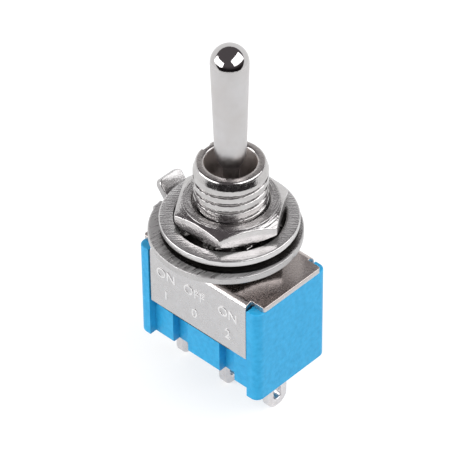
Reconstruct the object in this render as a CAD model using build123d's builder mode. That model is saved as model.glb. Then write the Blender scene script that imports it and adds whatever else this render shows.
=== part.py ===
from build123d import *
import math
import os

# Miniature panel toggle switch, three positions, lever in the middle one.
# Millimetres, +Z up. Origin: bushing axis, on the top face of the steel frame.
# The long side of the case runs along X and the lever tilts towards +X and -X.

# Case
case_length = 12.74
column_proud = 0.055
body_height = 9.45
column_length = 1.17
column_corner_r = 0.7
column_top_round = 0.12
wall_depth = 6.60
side_wall = 1.20
floor_thickness = 2.40
notch_x = 2.50
notch_width = 1.60
notch_depth = 0.70
case_edge_round = 0.14

# Folded steel frame
sheet = 0.50
frame_side_gap = 0.12
skirt_drop = 5.65
fold_r = 0.60
ear_overhang = 0.03
ear_inset = 0.10
ear_corner_r = 0.25
tongue_width = 1.40
tongue_dip = 0.35
tongue_reach = 1.05

# Bushing
thread_r = 2.90
thread_depth = 0.20
bushing_height = 9.05
rim_chamfer = 0.28
mouth_r = 2.03
throat_r = 1.60
flange_end_gap = 0.20
flange_side_gap = 0.10
flange_thickness = 0.80
flange_corner_r = 0.30
stake_lip_r = 3.50
stake_lip_height = 0.22
keyway_width = 1.10
keyway_floor_r = 2.40
slot_reach = 2.65
slot_width = 2.40

# Nuts and washers on the bushing
nut_flats = 8.00
nut_thickness = 1.65
nut_chamfer_r = 3.76
nut_chamfer_drop = 0.48
nut_bore_chamfer = 0.20
upper_nut_turn = -58.0
lower_nut_turn = 11.0
washer_hole_r = 3.02
tab_washer_r = 6.02
tab_washer_thickness = 0.62
tab_washer_shift = (-0.30, -0.30)
tab_width = 2.00
tab_height = 1.79
tab_bend_start = 5.15
tab_bend_r = 0.18
tab_bend_angle = 60.0
tab_corner_r = 0.40
tab_land_reach = 5.82
tab_land_width = 4.14
tab_neck = 0.20
tongue_key_width = 0.90
tongue_key_r = 2.55
lock_washer_r = 5.44
lock_washer_thickness = 0.55
lock_washer_shift = (-0.09, -0.09)
lock_ring_hole_r = 4.55
lock_tooth_count = 9
lock_tooth_phase = 2.5
lock_tooth_tip_r = 3.15
lock_tooth_width = 1.25
lock_tooth_twist = 28.0
lock_stack_height = 1.20

# Lever
pivot_z = 4.55
tilt_deg = 12.0
ball_r = 2.15
lever_tip_r = 1.48
lever_tip_z = 18.43
lever_shaft_r = 1.25
lever_shaft_z = 10.72
lever_cone_bulge = 0.11
lever_neck_r = 0.70
lever_neck_z = 8.75
foot_r = 1.00
foot_z = -1.50
foot_bore_r = 0.62
foot_bore_top_z = 2.60
pin_r = 0.45
pin_length = 4.84

# Plunger and spring
plunger_tip_z = -4.45
plunger_top_z = -0.20
spring_wire_r = 0.08
spring_coil_r = 0.46
spring_turns = 6

# Contacts and terminals
rocker_pivot_z = -5.40
rocker_ratio = 0.60
rocker_width = 2.40
rocker_sheet = 0.35
rocker_valley_r = 4.00
rocker_valley_half = 1.95
rocker_pad_inset = 1.00
rocker_end_margin = 0.70
rocker_end_rise = 0.05
rocker_knee_margin = 0.65
knuckle_r = 0.38
knuckle_length = 3.30
rivet_r = 0.60
rivet_head = 0.25
saddle_sheet = 0.40
saddle_length = 1.80
saddle_width = 3.50
saddle_height = 1.90
terminal_end_gap = 0.15
terminal_row_y = -0.20
terminal_sheet = 0.70
terminal_width = 2.10
terminal_corner_r = 0.90
outer_lug_drop = 3.65
center_lug_drop = 4.05
lug_hole_r = 0.43
lug_hole_length = 1.50
lug_hole_margin = 0.68
contact_proud = 0.10
foot_plate = 0.60
foot_plate_margin = 0.80

# Clearances
slip = 0.02
pin_slip = 0.01
running = 0.05
groove_slip = 0.03
frame_gap = 0.10
make_gap = 0.03

# Lengths worked out from the values above
frame_depth = wall_depth + 2 * (frame_gap + sheet)
frame_length = case_length - 2 * (column_length + frame_side_gap)
case_depth = frame_depth + 2 * column_proud
ear_span = case_length + 2 * ear_overhang
ear_depth = wall_depth - 2 * ear_inset
cavity_length = case_length - 2 * column_length
cavity_depth = wall_depth - 2 * side_wall
flange_length = cavity_length - 2 * flange_end_gap
flange_depth = wall_depth - 2 * flange_side_gap
thread_core_r = thread_r - thread_depth
terminal_pitch = cavity_length / 2 - terminal_end_gap - terminal_sheet / 2
rocker_pad_x = terminal_pitch - rocker_pad_inset
rocker_end_half = rocker_pad_x + rocker_end_margin
rocker_knee_x = rocker_pad_x - rocker_knee_margin
foot_plate_inner_x = rocker_pad_x - foot_plate_margin

# Levels worked out from the values above
case_bottom_z = -body_height
case_top_z = -sheet
wall_top_z = case_top_z - flange_thickness - slip
flange_bottom_z = case_top_z - flange_thickness
floor_z = case_bottom_z + floor_thickness
column_x = (case_length - column_length) / 2
skirt_bottom_z = -skirt_drop
tongue_bottom_z = skirt_bottom_z - tongue_dip
ledge_z = tongue_bottom_z + sheet + slip
lower_nut_z = stake_lip_height
tab_washer_z = lower_nut_z + nut_thickness
lock_stack_z = tab_washer_z + tab_washer_thickness
upper_nut_z = lock_stack_z + lock_stack_height
upper_nut_top_z = upper_nut_z + nut_thickness
seat_r = ball_r + running
throat_z = pivot_z + math.sqrt(seat_r**2 - throat_r**2)
rocker_tilt = math.radians(tilt_deg * rocker_ratio)

os.makedirs("parts", exist_ok=True)


def arc_point(radius, centre_z, degrees):
    """Point on a circle about the Z axis line, in a section's own (r, z)."""
    a = math.radians(degrees)
    return (radius * math.cos(a), centre_z + radius * math.sin(a))


# Case: central block between two full-depth end columns, hollow above its floor
with BuildPart() as case:
    with BuildSketch(Plane.XY.offset(case_bottom_z)):
        Rectangle(case_length, wall_depth)
        with Locations((-column_x, 0), (column_x, 0)):
            Rectangle(column_length, case_depth)
    extrude(amount=case_top_z - case_bottom_z)
    upright = case.edges().filter_by(Axis.Z).group_by(Axis.X)
    fillet(upright[0] + upright[-1], radius=column_corner_r)
    fillet(case.faces().sort_by(Axis.Z)[0].outer_wire().edges(), radius=case_edge_round)
    fillet(case.faces().sort_by(Axis.Z)[-1].outer_wire().edges(), radius=column_top_round)
    with BuildSketch(Plane.XY.offset(wall_top_z)):
        Rectangle(case_length - 2 * column_length, case_depth)
    extrude(amount=case_top_z - wall_top_z, mode=Mode.SUBTRACT)
    with BuildSketch(Plane.XY.offset(floor_z)):
        Rectangle(cavity_length, cavity_depth)
    extrude(amount=-floor_z, mode=Mode.SUBTRACT)
    with BuildSketch(Plane.XY.offset(case_bottom_z)):
        for side in (-1, 1):
            with Locations((-notch_x, side * wall_depth / 2), (notch_x, side * wall_depth / 2)):
                Rectangle(notch_width, 2 * notch_depth)
    extrude(amount=ledge_z - case_bottom_z, mode=Mode.SUBTRACT)
    with BuildSketch(Plane.XY.offset(case_bottom_z)):
        with Locations((0, terminal_row_y)):
            with GridLocations(terminal_pitch, 0, 3, 1):
                Rectangle(terminal_sheet + 2 * slip, terminal_width + 2 * slip)
    extrude(amount=floor_thickness, mode=Mode.SUBTRACT)
case.part.label = "case"
export_step(case.part, "parts/case.step")

# Frame: one folded sheet, with ears over the columns and tongues crimped under the ledges
with BuildPart() as frame:
    with BuildSketch(Plane.YZ) as folded:
        with Locations((0, skirt_bottom_z / 2)):
            Rectangle(frame_depth, skirt_drop)
        fillet(folded.vertices().group_by(Axis.Y)[-1], radius=fold_r)
    extrude(amount=frame_length / 2, both=True)
    with BuildSketch(Plane.YZ) as hollow:
        with Locations((0, (skirt_bottom_z - sheet) / 2)):
            Rectangle(frame_depth - 2 * sheet, skirt_drop - sheet)
        fillet(hollow.vertices().group_by(Axis.Y)[-1], radius=fold_r - sheet)
    extrude(amount=frame_length / 2, both=True, mode=Mode.SUBTRACT)
    with BuildSketch(Plane.XY.offset(-sheet)):
        RectangleRounded(ear_span, ear_depth, ear_corner_r)
    extrude(amount=sheet)
    tongue_y = frame_depth / 2
    for x in (-notch_x, notch_x):
        with BuildSketch(Plane.YZ.offset(x)):
            with BuildLine():
                Polyline(
                    (tongue_y, skirt_bottom_z + sheet),
                    (tongue_y, tongue_bottom_z + sheet),
                )
                RadiusArc(
                    (tongue_y, tongue_bottom_z + sheet),
                    (tongue_y - sheet, tongue_bottom_z),
                    sheet,
                )
                Polyline(
                    (tongue_y - sheet, tongue_bottom_z),
                    (tongue_y - tongue_reach, tongue_bottom_z),
                    (tongue_y - tongue_reach, tongue_bottom_z + sheet),
                    (tongue_y - sheet, tongue_bottom_z + sheet),
                    (tongue_y - sheet, skirt_bottom_z + sheet),
                    (tongue_y, skirt_bottom_z + sheet),
                )
            make_face()
        hooks = extrude(amount=tongue_width / 2, both=True)
        mirror(hooks, about=Plane.XZ)
    with BuildSketch():
        Circle(thread_r + running)
    extrude(amount=-sheet, mode=Mode.SUBTRACT)
frame.part.label = "frame"
export_step(frame.part, "parts/frame.step")

# Bushing: threaded sleeve, staked over the frame, with its flange under the frame
with BuildPart() as bushing:
    with BuildSketch(Plane.XZ):
        with BuildLine():
            Polyline(
                (0, flange_bottom_z),
                (thread_r, flange_bottom_z),
                (thread_r, 0),
                (stake_lip_r, 0),
                (stake_lip_r, stake_lip_height),
                (thread_core_r, stake_lip_height),
                (thread_core_r, tab_washer_z),
                (thread_r, tab_washer_z),
                (thread_r, upper_nut_z),
                (thread_core_r, upper_nut_z),
                (thread_core_r, upper_nut_top_z),
                (thread_r, upper_nut_top_z),
                (thread_r, bushing_height - rim_chamfer),
                (thread_r - rim_chamfer, bushing_height),
                (0, bushing_height),
                close=True,
            )
        make_face()
    revolve(axis=Axis.Z)
    with BuildSketch(Plane.XY.offset(flange_bottom_z)):
        RectangleRounded(flange_length, flange_depth, flange_corner_r)
    extrude(amount=flange_thickness)
    with BuildSketch(Plane.XZ):
        with BuildLine():
            Polyline((throat_r, throat_z), (mouth_r, bushing_height), (0, bushing_height))
            Line((0, bushing_height), (0, flange_bottom_z))
            Polyline((0, flange_bottom_z), (seat_r, flange_bottom_z), (seat_r, pivot_z))
            seat_middle = math.degrees(math.acos(throat_r / seat_r)) / 2
            ThreePointArc(
                (seat_r, pivot_z),
                arc_point(seat_r, pivot_z, seat_middle),
                (throat_r, throat_z),
            )
        make_face()
    revolve(axis=Axis.Z, mode=Mode.SUBTRACT)
    with BuildSketch(Plane.XY.offset(flange_bottom_z)):
        SlotOverall(2 * slot_reach, slot_width)
    extrude(amount=flange_thickness, mode=Mode.SUBTRACT)
    with BuildSketch(Plane.XY.offset(stake_lip_height)):
        with Locations((-(keyway_floor_r + thread_r), 0)):
            Rectangle(2 * thread_r, keyway_width)
    extrude(amount=bushing_height - stake_lip_height, mode=Mode.SUBTRACT)
    groove_half = pin_r + groove_slip
    with BuildSketch(Plane.XZ):
        with BuildLine():
            ThreePointArc(
                (groove_half, pivot_z),
                (0, pivot_z + groove_half),
                (-groove_half, pivot_z),
            )
            Polyline(
                (-groove_half, pivot_z),
                (-groove_half, flange_bottom_z),
                (groove_half, flange_bottom_z),
                (groove_half, pivot_z),
            )
        make_face()
    extrude(amount=pin_length / 2 + running, both=True, mode=Mode.SUBTRACT)
bushing.part.label = "bushing"
export_step(bushing.part, "parts/bushing.step")


def hex_nut(name, seat_z, turn):
    """Hex nut chamfered on both faces; its bore stands at the thread's core."""
    with BuildPart() as nut:
        with BuildSketch(Plane.XY.offset(seat_z)):
            RegularPolygon(nut_flats / 2, 6, major_radius=False, rotation=turn)
        extrude(amount=nut_thickness)
        corner_r = nut_flats / 2 / math.cos(math.pi / 6)
        with BuildSketch(Plane.XZ):
            with BuildLine():
                Polyline(
                    (0, seat_z),
                    (nut_chamfer_r, seat_z),
                    (corner_r, seat_z + nut_chamfer_drop),
                    (corner_r, seat_z + nut_thickness - nut_chamfer_drop),
                    (nut_chamfer_r, seat_z + nut_thickness),
                    (0, seat_z + nut_thickness),
                    close=True,
                )
            make_face()
        revolve(axis=Axis.Z, mode=Mode.INTERSECT)
        with BuildSketch(Plane.XY.offset(seat_z)):
            Circle(thread_core_r + slip)
        extrude(amount=nut_thickness, mode=Mode.SUBTRACT)
        chamfer(nut.edges().filter_by(GeomType.CIRCLE).sort_by(SortBy.RADIUS)[:2], nut_bore_chamfer)
    nut.part.label = name
    export_step(nut.part, f"parts/{name}.step")
    return nut.part


upper_nut = hex_nut("upper_nut", upper_nut_z, upper_nut_turn)
lower_nut = hex_nut("lower_nut", lower_nut_z, lower_nut_turn)

# Tab washer: disc with an inner tongue in the keyway and a tab bent up at its rim
washer_x, washer_y = tab_washer_shift
bend = math.radians(tab_bend_angle)
inner_r = tab_bend_r
outer_r = tab_bend_r + tab_washer_thickness
bend_x = washer_x - tab_bend_start
bend_z = tab_washer_z + outer_r
inner_end = (bend_x - inner_r * math.sin(bend), bend_z - inner_r * math.cos(bend))
outer_end = (bend_x - outer_r * math.sin(bend), bend_z - outer_r * math.cos(bend))
leaf_length = (tab_height - outer_r * (1 - math.cos(bend))) / math.sin(bend)
leaf_plane = Plane(
    origin=(inner_end[0], washer_y, inner_end[1]),
    x_dir=(0, 1, 0),
    z_dir=(math.sin(bend), 0, math.cos(bend)),
)
with BuildPart() as tab_washer:
    with BuildSketch(Plane.XY.offset(tab_washer_z)):
        with Locations((washer_x, washer_y)):
            Circle(tab_washer_r)
        with Locations((washer_x - tab_land_reach / 2, washer_y)):
            Rectangle(tab_land_reach, tab_land_width)
        Circle(washer_hole_r, mode=Mode.SUBTRACT)
        with Locations((washer_x - tab_bend_start - tab_washer_r / 2, washer_y)):
            Rectangle(tab_washer_r, tab_width, mode=Mode.SUBTRACT)
        with Locations((-(washer_hole_r + tab_neck + tongue_key_r) / 2, 0)):
            Rectangle(washer_hole_r + tab_neck - tongue_key_r, tongue_key_width)
    extrude(amount=tab_washer_thickness)
    with BuildSketch(Plane.XZ.offset(-washer_y)):
        with BuildLine():
            ThreePointArc(
                (bend_x, tab_washer_z),
                (bend_x - outer_r * math.sin(bend / 2), bend_z - outer_r * math.cos(bend / 2)),
                outer_end,
            )
            Line(outer_end, inner_end)
            ThreePointArc(
                inner_end,
                (bend_x - inner_r * math.sin(bend / 2), bend_z - inner_r * math.cos(bend / 2)),
                (bend_x, tab_washer_z + tab_washer_thickness),
            )
            Line((bend_x, tab_washer_z + tab_washer_thickness), (bend_x, tab_washer_z))
        make_face()
    extrude(amount=tab_width / 2, both=True)
    with BuildSketch(leaf_plane) as leaf:
        with Locations((0, leaf_length / 2)):
            Rectangle(tab_width, leaf_length)
        fillet(leaf.vertices().group_by(Axis.Y)[-1], radius=tab_corner_r)
    extrude(amount=-tab_washer_thickness)
tab_washer.part.label = "tab_washer"
export_step(tab_washer.part, "parts/tab_washer.step")

# Lock washer: flat ring with inner teeth, each twisted about its own radius
lock_x, lock_y = lock_washer_shift
lock_ring_top_z = upper_nut_z - slip
lock_ring_z = lock_ring_top_z - lock_washer_thickness
lock_tooth_z = lock_stack_z + lock_stack_height / 2
with BuildPart() as lock_washer:
    with BuildSketch(Plane.XY.offset(lock_ring_z)):
        with Locations((lock_x, lock_y)):
            Circle(lock_washer_r)
            Circle(lock_ring_hole_r, mode=Mode.SUBTRACT)
    extrude(amount=lock_washer_thickness)
    tooth_length = lock_ring_hole_r + tab_neck - lock_tooth_tip_r
    for k in range(lock_tooth_count):
        angle = lock_tooth_phase + 360 * k / lock_tooth_count
        spoke = Plane(
            origin=(0, 0, lock_tooth_z),
            x_dir=Vector(0, 1, 0).rotate(Axis.Z, angle),
            z_dir=Vector(1, 0, 0).rotate(Axis.Z, angle),
        )
        with BuildSketch(spoke.offset(lock_tooth_tip_r)):
            Rectangle(lock_tooth_width, lock_washer_thickness, rotation=lock_tooth_twist)
        extrude(amount=tooth_length)
lock_washer.part.label = "lock_washer"
export_step(lock_washer.part, "parts/lock_washer.step")

# Lever: turned in one piece, with a ball in the bushing's seat and a hollow foot
with BuildPart() as lever:
    with BuildSketch(Plane.XZ):
        with BuildLine():
            Polyline((0, pivot_z), (lever_neck_r, pivot_z), (lever_neck_r, lever_neck_z))
            ThreePointArc(
                (lever_neck_r, lever_neck_z),
                (
                    (lever_neck_r + lever_shaft_r) / 2 + lever_cone_bulge,
                    (lever_neck_z + lever_shaft_z) / 2,
                ),
                (lever_shaft_r, lever_shaft_z),
            )
            Line((lever_shaft_r, lever_shaft_z), (lever_tip_r, lever_tip_z))
            ThreePointArc(
                (lever_tip_r, lever_tip_z),
                arc_point(lever_tip_r, lever_tip_z, 45),
                (0, lever_tip_z + lever_tip_r),
            )
            Line((0, lever_tip_z + lever_tip_r), (0, pivot_z))
        make_face()
    revolve(axis=Axis.Z)
    with Locations((0, 0, pivot_z)):
        Sphere(ball_r)
    with BuildSketch(Plane.XY.offset(foot_z)):
        Circle(foot_r)
    extrude(amount=pivot_z - foot_z)
    with BuildSketch(Plane.XY.offset(foot_z)):
        Circle(foot_bore_r)
    extrude(amount=foot_bore_top_z - foot_z, mode=Mode.SUBTRACT)
    with BuildSketch(Plane.XZ):
        with Locations((0, pivot_z)):
            Circle(pin_r + pin_slip)
    extrude(amount=ball_r, both=True, mode=Mode.SUBTRACT)
lever.part.label = "lever"
export_step(lever.part, "parts/lever.step")

# Pivot pin: across the lever's ball, its ends in the bushing's two grooves
with BuildPart() as pivot_pin:
    with BuildSketch(Plane.XZ):
        with Locations((0, pivot_z)):
            Circle(pin_r)
    extrude(amount=pin_length / 2, both=True)
pivot_pin.part.label = "pivot_pin"
export_step(pivot_pin.part, "parts/pivot_pin.step")

# Plunger: nylon, round-nosed, sliding in the lever's foot
plunger_r = foot_bore_r - slip
nose_z = plunger_tip_z + plunger_r
with BuildPart() as plunger:
    with BuildSketch(Plane.XY.offset(nose_z)):
        Circle(plunger_r)
    extrude(amount=plunger_top_z - nose_z)
    with Locations((0, 0, nose_z)):
        Sphere(plunger_r)
plunger.part.label = "plunger"
export_step(plunger.part, "parts/plunger.step")

# Spring: between the plunger and the end of the lever's bore
spring_low_z = plunger_top_z + spring_wire_r + slip
spring_high_z = foot_bore_top_z - spring_wire_r - slip
spring_height = spring_high_z - spring_low_z
with BuildPart() as lever_spring:
    with BuildLine() as coil:
        Helix(
            pitch=spring_height / spring_turns,
            height=spring_height,
            radius=spring_coil_r,
            center=(0, 0, spring_low_z),
        )
    with BuildSketch(Plane(origin=coil.line @ 0, z_dir=coil.line % 0)):
        Circle(spring_wire_r)
    sweep(path=coil.line, is_frenet=True)
lever_spring.part.label = "lever_spring"
export_step(lever_spring.part, "parts/lever_spring.step")

# Rocker: bent contact strip on a round knuckle, with a valley for the plunger
valley_floor = plunger_tip_z - rocker_pivot_z - running
valley_centre = valley_floor + rocker_valley_r
valley_under = valley_centre - math.sqrt(
    (rocker_valley_r + rocker_sheet) ** 2 - rocker_valley_half**2
)
valley_edge = valley_centre - math.sqrt(rocker_valley_r**2 - rocker_valley_half**2)
rocker_plane = Plane(origin=(0, 0, rocker_pivot_z), x_dir=(1, 0, 0), z_dir=(0, -1, 0))
with BuildPart() as rocker:
    with BuildSketch(rocker_plane):
        with BuildLine():
            Polyline(
                (-rocker_valley_half, valley_edge),
                (-rocker_knee_x, rocker_end_rise + rocker_sheet),
                (-rocker_end_half, rocker_end_rise + rocker_sheet),
                (-rocker_end_half, rocker_end_rise),
                (-rocker_knee_x, rocker_end_rise),
                (-rocker_valley_half, valley_under),
            )
            ThreePointArc(
                (-rocker_valley_half, valley_under),
                (0, valley_floor - rocker_sheet),
                (rocker_valley_half, valley_under),
            )
            Polyline(
                (rocker_valley_half, valley_under),
                (rocker_knee_x, rocker_end_rise),
                (rocker_end_half, rocker_end_rise),
                (rocker_end_half, rocker_end_rise + rocker_sheet),
                (rocker_knee_x, rocker_end_rise + rocker_sheet),
                (rocker_valley_half, valley_edge),
            )
            ThreePointArc(
                (rocker_valley_half, valley_edge),
                (0, valley_floor),
                (-rocker_valley_half, valley_edge),
            )
        make_face()
    extrude(amount=rocker_width / 2, both=True)
    with BuildSketch(rocker_plane):
        with Locations((0, valley_floor / 2)):
            Rectangle(2 * knuckle_r, valley_floor - rocker_sheet / 2)
    extrude(amount=rocker_width / 2, both=True)
    with BuildSketch(rocker_plane):
        Circle(knuckle_r)
    extrude(amount=knuckle_length / 2, both=True)
rocker.part.label = "rocker"
export_step(rocker.part, "parts/rocker.step")

# Fixed contacts stand where the tilted rocker's rivets come down on them
rivet_low = rocker_end_rise - rivet_head
made_z = (
    rocker_pivot_z
    + rivet_low * math.cos(rocker_tilt)
    - (rocker_pad_x + rivet_r) * math.sin(rocker_tilt)
    - make_gap
)
foot_plate_z = floor_z + foot_plate

for side, name in ((-1, "left"), (1, "right")):
    with BuildPart() as rivet:
        with BuildSketch(Plane.XY.offset(rocker_pivot_z + rocker_end_rise - rivet_head)):
            with Locations((side * rocker_pad_x, 0)):
                Circle(rivet_r)
        extrude(amount=rivet_head)
    rivet.part.label = f"rocker_contact_{name}"
    export_step(rivet.part, f"parts/rocker_contact_{name}.step")

    with BuildPart() as fixed_contact:
        with BuildSketch(Plane.XY.offset(foot_plate_z)):
            with Locations((side * rocker_pad_x, 0)):
                Circle(rivet_r + contact_proud)
        extrude(amount=made_z - foot_plate_z)
    fixed_contact.part.label = f"contact_{name}"
    export_step(fixed_contact.part, f"parts/contact_{name}.step")

# Saddle: a folded channel on the centre terminal that carries the rocker's knuckle
with BuildPart() as saddle:
    with BuildSketch(Plane.YZ):
        with Locations((0, floor_z + saddle_height / 2)):
            Rectangle(saddle_width, saddle_height)
        with Locations((0, floor_z + saddle_sheet + saddle_height / 2)):
            Rectangle(saddle_width - 2 * saddle_sheet, saddle_height, mode=Mode.SUBTRACT)
    extrude(amount=saddle_length / 2, both=True)
    notch_r = knuckle_r + groove_slip
    with BuildSketch(Plane.XZ):
        with Locations((0, rocker_pivot_z)):
            Circle(notch_r)
        with Locations((0, rocker_pivot_z + saddle_height / 2)):
            Rectangle(2 * notch_r, saddle_height)
    extrude(amount=saddle_width / 2, both=True, mode=Mode.SUBTRACT)
saddle.part.label = "saddle"
export_step(saddle.part, "parts/saddle.step")


def terminal(name, x, top_z, drop, foot_side):
    """Solder lug with a round end and a slot hole; an end terminal has a foot plate inside."""
    low_z = case_bottom_z - drop
    hole_z = low_z + lug_hole_margin + lug_hole_length / 2
    with BuildPart() as lug:
        with BuildSketch(Plane.YZ.offset(x - terminal_sheet / 2)) as blade:
            with Locations((terminal_row_y, (low_z + top_z) / 2)):
                Rectangle(terminal_width, top_z - low_z)
            fillet(blade.vertices().group_by(Axis.Y)[0], radius=terminal_corner_r)
            with Locations((terminal_row_y, hole_z)):
                SlotOverall(lug_hole_length, 2 * lug_hole_r, rotation=90, mode=Mode.SUBTRACT)
        extrude(amount=terminal_sheet)
        if foot_side:
            outer_x = x + foot_side * terminal_sheet / 2
            inner_x = foot_side * foot_plate_inner_x
            with BuildSketch(Plane.XY.offset(floor_z)):
                with Locations(((outer_x + inner_x) / 2, terminal_row_y)):
                    Rectangle(abs(outer_x - inner_x), terminal_width)
            extrude(amount=foot_plate)
    lug.part.label = name
    export_step(lug.part, f"parts/{name}.step")
    return lug.part


foot_top_z = floor_z + foot_plate
terminal_left = terminal("terminal_left", -terminal_pitch, foot_top_z, outer_lug_drop, -1)
terminal_center = terminal("terminal_center", 0, floor_z, center_lug_drop, 0)
terminal_right = terminal("terminal_right", terminal_pitch, foot_top_z, outer_lug_drop, 1)
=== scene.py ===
import math

import bmesh
import bpy
import numpy as np
from mathutils import Matrix, Vector


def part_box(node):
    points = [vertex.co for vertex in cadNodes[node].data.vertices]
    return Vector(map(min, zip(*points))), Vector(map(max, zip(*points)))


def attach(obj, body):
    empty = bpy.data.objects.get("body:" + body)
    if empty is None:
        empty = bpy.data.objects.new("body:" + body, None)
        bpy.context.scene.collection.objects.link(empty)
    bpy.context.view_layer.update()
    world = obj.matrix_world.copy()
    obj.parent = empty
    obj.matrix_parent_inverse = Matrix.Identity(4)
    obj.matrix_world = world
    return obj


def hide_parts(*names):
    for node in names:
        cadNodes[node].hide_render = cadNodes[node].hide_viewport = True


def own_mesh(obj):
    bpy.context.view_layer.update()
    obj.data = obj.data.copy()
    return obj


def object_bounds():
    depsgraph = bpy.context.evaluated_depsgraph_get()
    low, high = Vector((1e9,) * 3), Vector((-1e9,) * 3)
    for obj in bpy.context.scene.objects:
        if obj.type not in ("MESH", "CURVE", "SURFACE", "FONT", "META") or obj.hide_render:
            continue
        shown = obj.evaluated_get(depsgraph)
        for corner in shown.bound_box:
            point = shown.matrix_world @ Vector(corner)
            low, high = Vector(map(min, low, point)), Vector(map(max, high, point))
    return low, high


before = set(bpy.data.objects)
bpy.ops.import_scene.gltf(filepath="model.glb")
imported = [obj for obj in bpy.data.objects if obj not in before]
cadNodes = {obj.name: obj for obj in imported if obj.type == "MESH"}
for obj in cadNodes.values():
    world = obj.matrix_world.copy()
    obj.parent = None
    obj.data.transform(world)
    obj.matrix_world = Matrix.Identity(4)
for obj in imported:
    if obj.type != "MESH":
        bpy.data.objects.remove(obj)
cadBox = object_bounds()
mm = 0.001
tiny = 0.001  # in millimetres
print("frame loaded with", len(cadNodes), "nodes")

# Camera, fitted to the photograph

cameraView = {
    "azimuth": 43.67,
    "elevation": 40.86,
    "roll": -0.685,
    "lens": 259.2,
    "sensor": 36,
    "clip": (0.01, 10),
    "eye": (0.129543, -0.1364012, 0.1653358),
}


def placeCamera(view):
    az, el, roll = (math.radians(view[k]) for k in ("azimuth", "elevation", "roll"))
    back = Vector((math.sin(az) * math.cos(el), -math.cos(az) * math.cos(el), math.sin(el)))
    right = Vector((math.cos(az), math.sin(az), 0))
    up = back.cross(right)
    turnedRight = right * math.cos(roll) + up * math.sin(roll)
    turnedUp = up * math.cos(roll) - right * math.sin(roll)
    data = bpy.data.cameras.new("photoCamera")
    data.lens = view["lens"]
    data.sensor_width = view["sensor"]
    data.clip_start, data.clip_end = view["clip"]
    camera = bpy.data.objects.new("photoCamera", data)
    camera.matrix_world = Matrix((turnedRight, turnedUp, back)).transposed().to_4x4()
    camera.location = view["eye"]
    bpy.context.scene.collection.objects.link(camera)
    bpy.context.scene.camera = camera


placeCamera(cameraView)
print("camera placed")

# Making meshes from grids


def ringFaces(rows, cols):
    # Grid closed both ways: quad (i, j), (i+1, j), (i+1, j+1), (i, j+1), with both counts wrapping round
    index = np.arange(rows * cols).reshape(rows, cols)
    below = np.roll(index, -1, axis=0)
    corners = [index, below, np.roll(below, -1, axis=1), np.roll(index, -1, axis=1)]
    return [np.stack(corners, axis=-1).reshape(-1, 4)]


def spindleFaces(rows, cols):
    # Rings of vertices, then one pole for each end: quads between rings, and a fan of triangles at each pole
    index = np.arange(rows * cols).reshape(rows, cols)
    beside = np.roll(index, -1, axis=1)
    quads = np.stack([index[:-1], index[1:], beside[1:], beside[:-1]], axis=-1).reshape(-1, 4)
    pole = np.full(cols, rows * cols)
    fans = [[pole, index[0], beside[0]], [pole + 1, beside[-1], index[-1]]]
    return [quads, np.concatenate([np.stack(fan, axis=-1) for fan in fans])]


def joinParts(parts):
    # Several (points, faces) as one: each part's face indices move up by the points before it
    points, faces, start = [], [], 0
    for partPoints, partFaces in parts:
        points.append(partPoints.reshape(-1, 3))
        faces += [array + start for array in partFaces]
        start += len(points[-1])
    return np.concatenate(points), faces


def signedVolume(points, faces):
    # Sum over triangles of a . (b x c) / 6, which is above zero where the faces point outwards
    total = 0.0
    for array in faces:
        for k in range(1, array.shape[1] - 1):
            a, b, c = points[array[:, 0]], points[array[:, k]], points[array[:, k + 1]]
            total += np.einsum("ij,ij->", a, np.cross(b, c)) / 6
    return total


def dressMesh(name, mesh, material, crease):
    mesh.shade_smooth()
    mesh.set_sharp_from_angle(angle=math.radians(crease))
    mesh.materials.clear()
    mesh.materials.append(material)
    piece = bpy.data.objects.new(name, mesh)
    bpy.context.scene.collection.objects.link(piece)
    return piece


def registerPiece(piece, replaced, body):
    piece.modifiers.new("evenShading", "WEIGHTED_NORMAL").keep_sharp = True
    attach(piece, body)
    if replaced:
        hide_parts(*replaced)


def addPiece(name, parts, replaced, body, material, crease=35):
    # Each part is turned outwards by itself, then all of them make one mesh in metres
    turned = []
    for points, faces in parts:
        flat = points.reshape(-1, 3)
        inside = signedVolume(flat, faces) < 0
        turned.append((flat, [array[:, ::-1] for array in faces] if inside else faces))
    points, faces = joinParts(turned)
    mesh = bpy.data.meshes.new(name)
    mesh.from_pydata((points * mm).tolist(), [], [f for array in faces for f in array.tolist()])
    piece = dressMesh(name, mesh, material, crease)
    registerPiece(piece, replaced, body)
    print("piece", name, len(points), "vertices")
    return piece


boxCorners = np.array([[-1, -1], [1, -1], [1, 1], [-1, 1]])


def roundCorners(corners, radius, steps=4, most=0.45):
    # Closed polygon: each corner c becomes (1-t)^2 a + 2t(1-t) c + t^2 b, where a and b are the radius away
    # from c along its two sides, or the share "most" of a side where that is less
    before = np.roll(corners, 1, axis=-2) - corners
    after = np.roll(corners, -1, axis=-2) - corners
    size = np.broadcast_to(radius, corners.shape[:-1])[..., None]
    start, end = (
        corners + side * np.minimum(size / np.linalg.norm(side, axis=-1, keepdims=True), most)
        for side in (before, after)
    )
    t = np.linspace(0, 1, steps)[:, None]
    curve = (1 - t) ** 2 * start[..., None, :] + 2 * t * (1 - t) * corners[..., None, :]
    curve = curve + t**2 * end[..., None, :]
    return curve.reshape(*corners.shape[:-2], -1, corners.shape[-1])


def splitLong(outline, longest):
    # Closed plan curve with points added so that no side is longer than the given length
    ahead = np.roll(outline, -1, axis=0) - outline
    count = np.maximum(1, np.ceil(np.linalg.norm(ahead, axis=1) / longest).astype(int))
    first = np.repeat(np.arange(len(outline)), count)
    part = np.concatenate([np.arange(n) / n for n in count])
    return outline[first] + ahead[first] * part[:, None]


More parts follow.
